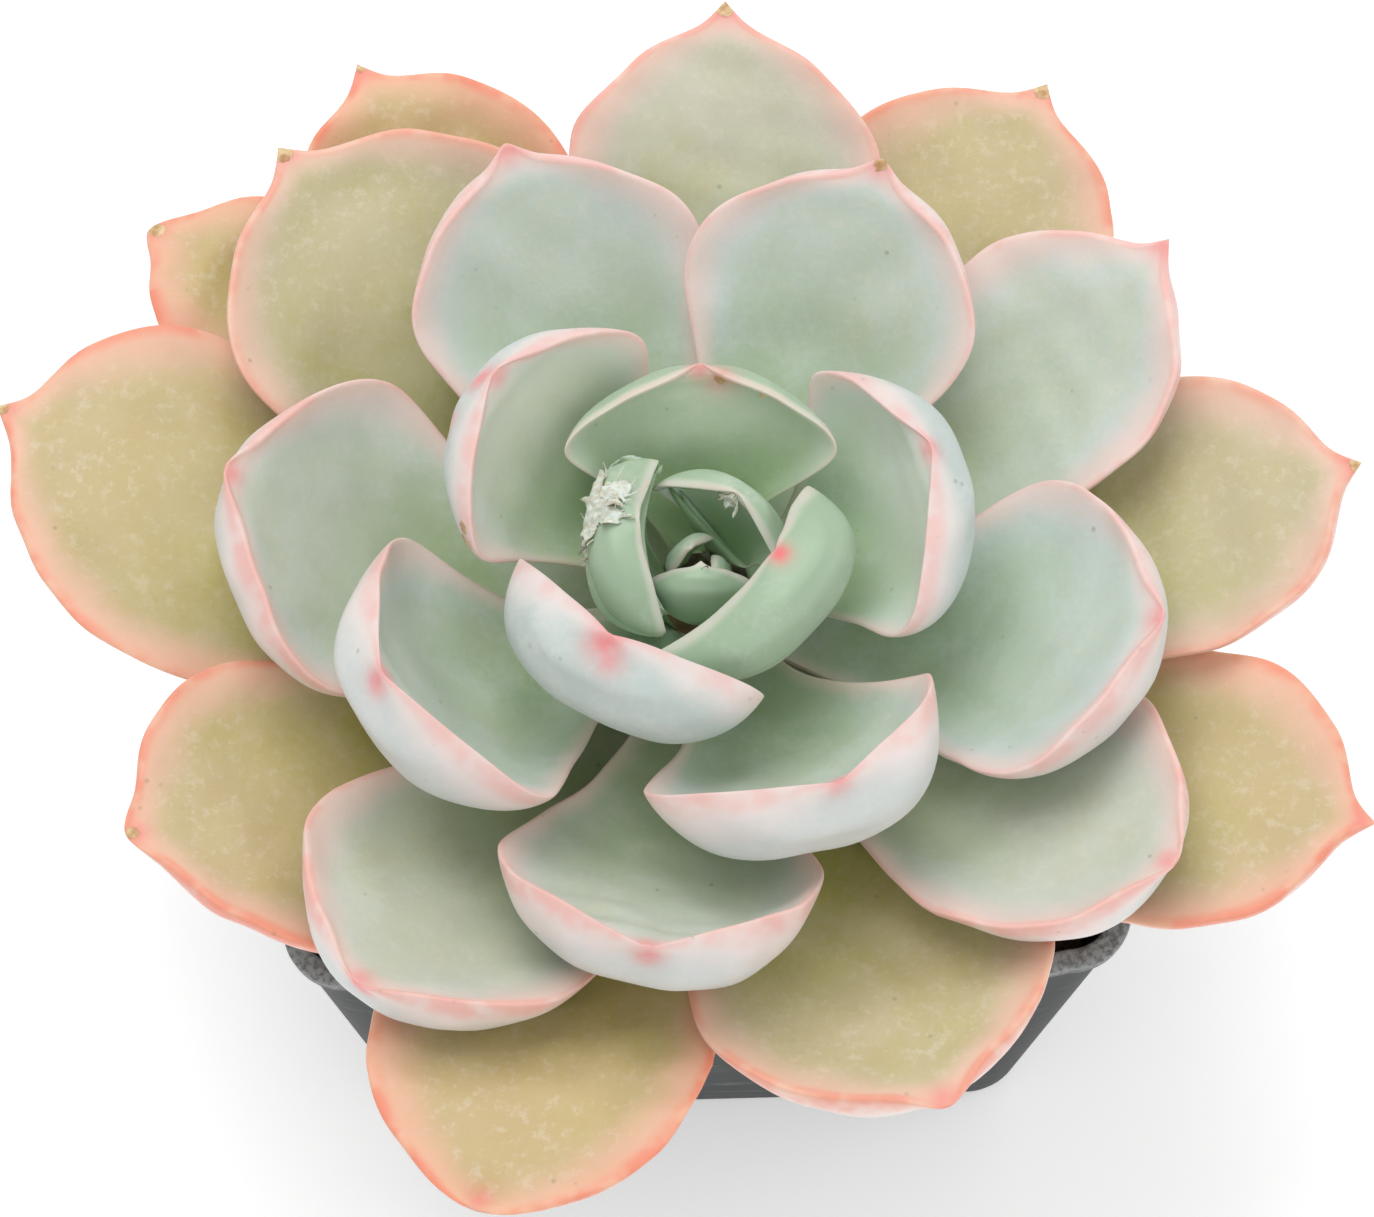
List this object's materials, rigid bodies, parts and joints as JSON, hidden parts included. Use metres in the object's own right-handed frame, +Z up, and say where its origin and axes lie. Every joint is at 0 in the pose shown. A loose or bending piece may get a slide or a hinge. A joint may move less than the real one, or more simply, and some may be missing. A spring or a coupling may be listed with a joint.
{
  "type": "potted succulent",
  "caption": "Rosette succulent with fleshy, pointed, upturned leaves growing out over the rim of a small tapered square plastic nursery pot.",
  "frame": {"origin": "centre of the pot's underside, on the surface it stands on", "axes": "+Z up; -Y is the side the plant leans toward and shows in front; the pot's sides run along X and Y"},
  "size_m": [0.129, 0.1197, 0.0827],
  "materials": {
    "pot_plastic": "scuffed satin, paler at the worn rim",
    "potting_mix": "dry, crumbly",
    "stem_bark": "matte",
    "heart_leaf": "powdery satin",
    "inner_leaf": "powdery satin with pink margin",
    "middle_leaf": "powdery satin with pink margin",
    "outer_leaf": "powdery satin with orange-pink margin"
  },
  "bodies": {
    "root": {"pot": "pot_plastic", "potting_mix": "potting_mix", "stem": "stem_bark", "heart_leaf_07": "heart_leaf", "heart_leaf_06": "heart_leaf", "heart_leaf_05": "heart_leaf", "heart_leaf_04": "heart_leaf", "heart_leaf_03": "heart_leaf", "heart_leaf_02": "heart_leaf", "heart_leaf_01": "heart_leaf", "inner_leaf_00": "inner_leaf", "inner_leaf_01": "inner_leaf", "inner_leaf_02": "inner_leaf", "middle_leaf_03": "middle_leaf", "middle_leaf_04": "middle_leaf", "middle_leaf_05": "middle_leaf", "middle_leaf_06": "middle_leaf", "middle_leaf_07": "middle_leaf", "middle_leaf_08": "middle_leaf", "middle_leaf_09": "middle_leaf", "middle_leaf_10": "middle_leaf", "middle_leaf_11": "middle_leaf", "middle_leaf_12": "middle_leaf", "middle_leaf_13": "middle_leaf", "outer_leaf_14": "outer_leaf", "outer_leaf_15": "outer_leaf", "outer_leaf_16": "outer_leaf", "outer_leaf_17": "outer_leaf", "outer_leaf_18": "outer_leaf", "outer_leaf_19": "outer_leaf", "outer_leaf_20": "outer_leaf", "outer_leaf_21": "outer_leaf", "outer_leaf_23": "outer_leaf", "outer_leaf_28": "outer_leaf"}
  },
  "joints": []
}
